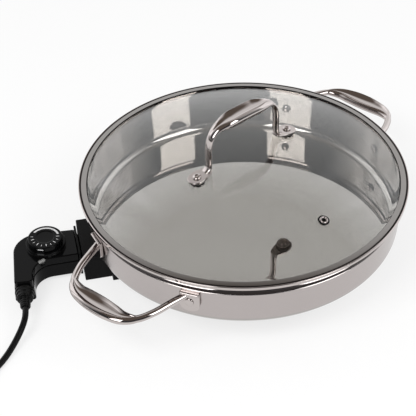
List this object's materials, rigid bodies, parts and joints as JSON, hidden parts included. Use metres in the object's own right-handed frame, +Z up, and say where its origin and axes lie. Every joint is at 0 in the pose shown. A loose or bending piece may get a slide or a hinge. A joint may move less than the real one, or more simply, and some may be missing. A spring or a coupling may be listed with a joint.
{
  "type": "electric skillet",
  "caption": "Round polished steel electric skillet with a lift-off domed glass lid, steel strap handles and a plug-in black temperature control with its cord",
  "frame": {"origin": "middle of the footprint on the table, under the pan's axis", "axes": "+X runs through one side handle, +Z points up, +Y completes a right-handed frame"},
  "size_m": [0.7454, 0.406, 0.1968],
  "materials": {
    "polished_steel": "polished",
    "satin_steel": "satin",
    "heat_plate_aluminium": "cast",
    "contact_brass": "satin",
    "guard_plastic": "matte",
    "control_plastic": "gloss",
    "cord_vinyl": "satin",
    "silicone": "matte",
    "ceramic": "matte",
    "lens_plastic": "gloss",
    "lid_glass": "clear"
  },
  "bodies": {
    "root": {"pan_body": "polished_steel", "side_handle_far": "polished_steel", "side_handle_near": "polished_steel", "handle_rivet_1": "polished_steel", "handle_rivet_2": "polished_steel", "handle_rivet_3": "polished_steel", "handle_rivet_4": "polished_steel", "heat_plate": "heat_plate_aluminium", "heating_element": "satin_steel", "base_cover": "satin_steel", "probe_well": "satin_steel", "base_foot_1": "guard_plastic", "base_foot_2": "guard_plastic", "base_foot_3": "guard_plastic", "base_screw_1": "satin_steel", "base_screw_2": "satin_steel", "base_screw_3": "satin_steel", "socket_guard": "guard_plastic", "guard_screw_1": "satin_steel", "guard_screw_2": "satin_steel", "terminal_pin_1": "polished_steel", "terminal_pin_2": "polished_steel"},
    "lid": {"lid_glass": "lid_glass", "lid_rim": "polished_steel", "vent_grommet": "polished_steel", "lid_handle": "polished_steel", "lid_washer_1": "silicone", "lid_washer_2": "silicone", "lid_screw_1": "polished_steel", "lid_screw_2": "polished_steel", "lid_nut_1": "polished_steel", "lid_nut_2": "polished_steel"},
    "control": {"control_lower_shell": "control_plastic", "control_upper_shell": "control_plastic", "control_nose": "guard_plastic", "contact_sleeve_1": "contact_brass", "contact_sleeve_2": "contact_brass", "probe_rod": "polished_steel", "thermostat_bracket": "satin_steel", "thermostat_insulator": "ceramic", "bimetal_leaf": "satin_steel", "contact_leaf": "contact_brass", "indicator_lens": "lens_plastic", "indicator_lamp": "lens_plastic", "shell_screw_1": "satin_steel", "shell_screw_2": "satin_steel", "shell_screw_3": "satin_steel", "strain_relief": "cord_vinyl", "conductor_1": "cord_vinyl", "conductor_2": "cord_vinyl", "cord": "cord_vinyl", "cord_coil": "cord_vinyl", "cord_tie": "silicone", "mains_plug": "cord_vinyl", "plug_blade_1": "contact_brass", "plug_blade_2": "contact_brass"},
    "dial": {"temperature_dial": "control_plastic", "dial_shaft": "satin_steel"}
  },
  "joints": [
    {"name": "lid_lift", "type": "slide", "parent": "root", "child": "lid", "axis": [0, 0, 1], "range_m": [0, 0.15]},
    {"name": "control_pull", "type": "slide", "parent": "root", "child": "control", "axis": [-0.7986, 0.6018, 0], "range_m": [0, 0.15]},
    {"name": "dial_turn", "type": "hinge", "parent": "control", "child": "dial", "pos_m": [-0.19946, 0.15155, 0.044], "axis": [0, 0, 1], "range_deg": [-300, 0]}
  ]
}
